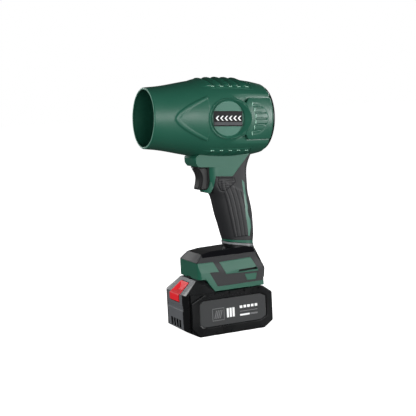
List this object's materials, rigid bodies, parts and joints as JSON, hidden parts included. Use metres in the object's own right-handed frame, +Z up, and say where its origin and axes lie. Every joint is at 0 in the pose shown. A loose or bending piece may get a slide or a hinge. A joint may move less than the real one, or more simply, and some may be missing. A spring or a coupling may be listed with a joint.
{
  "type": "cordless leaf blower",
  "caption": "Pistol-grip cordless jet blower: ribbed barrel with a fan inside, rubber-clad grip with trigger, and a slide-on battery pack that it stands on.",
  "frame": {"origin": "centre of the battery pack's flat base", "axes": "+Z up; air leaves the barrel towards -X; +Y is the tool's right side"},
  "size_m": [0.1705, 0.1014, 0.3262],
  "materials": {
    "shell_green": "satin moulded plastic",
    "badge_green": "satin moulded plastic",
    "grip_rubber": "soft matt overmould",
    "gloss_black": "gloss",
    "matte_black": "fine matt texture",
    "panel_grey": "fine matt texture",
    "light_grey": "satin",
    "button_red": "satin",
    "steel": "machined",
    "copper": "bright",
    "circuit_board": "lacquered board",
    "cell_sleeve": "shrink sleeve"
  },
  "bodies": {
    "tool": {"housing_left": "shell_green", "housing_right": "shell_green", "grip_overmould_left": "grip_rubber", "grip_overmould_right": "grip_rubber", "foot_bumper_left": "grip_rubber", "foot_bumper_right": "grip_rubber", "foot_cover": "gloss_black", "grip_collar": "light_grey", "badge_disc_right": "badge_green", "badge_disc_left": "badge_green", "label_plate_right": "gloss_black", "label_plate_left": "gloss_black", "rear_grille": "matte_black", "fan_duct": "matte_black", "tail_cone": "matte_black", "motor_case": "steel", "motor_end_cap": "steel", "bearing_front": "steel", "bearing_rear": "steel", "stator_core": "copper", "trigger_spring": "steel", "switch_body": "matte_black", "controller_board": "circuit_board", "terminal_block": "matte_black", "contact_blade_plus": "copper", "contact_blade_minus": "copper", "housing_screw_1": "steel", "housing_screw_2": "steel", "housing_screw_3": "steel", "housing_screw_4": "steel", "housing_screw_5": "steel", "housing_screw_6": "steel"},
    "fan": {"impeller": "matte_black", "spinner": "matte_black", "rotor_shaft": "steel"},
    "trigger": {"trigger": "matte_black"},
    "battery": {"pack_upper_case": "matte_black", "pack_lower_case": "matte_black", "side_frame_right": "matte_black", "side_frame_left": "matte_black", "side_panel_right": "panel_grey", "side_panel_left": "panel_grey", "pack_board": "circuit_board", "pack_contact_plus": "copper", "pack_contact_minus": "copper", "release_spring": "steel", "cell_1": "cell_sleeve", "cell_2": "cell_sleeve", "cell_3": "cell_sleeve", "cell_4": "cell_sleeve", "cell_5": "cell_sleeve", "cell_6": "cell_sleeve", "cell_7": "cell_sleeve", "cell_8": "cell_sleeve", "cell_9": "cell_sleeve", "cell_10": "cell_sleeve"},
    "latch_button": {"release_button": "button_red"}
  },
  "joints": [
    {"name": "fan_spin", "type": "hinge", "parent": "tool", "child": "fan", "pos_m": [-0.0937, 0, 0.2807], "axis": [0.9982, 0, -0.0593], "continuous": true},
    {"name": "trigger_pull", "type": "slide", "parent": "tool", "child": "trigger", "axis": [1, 0, 0], "range_m": [0, 0.007], "stiffness_N_per_m": 400, "springref_m": -0.01, "deforming": ["trigger_spring"]},
    {"name": "battery_slide", "type": "slide", "parent": "tool", "child": "battery", "axis": [-1, 0, 0], "range_m": [0, 0.1]},
    {"name": "latch_press", "type": "slide", "parent": "battery", "child": "latch_button", "axis": [0.7071, 0, -0.7071], "range_m": [0, 0.0035], "stiffness_N_per_m": 1500, "springref_m": -0.004, "deforming": ["release_spring"]}
  ]
}
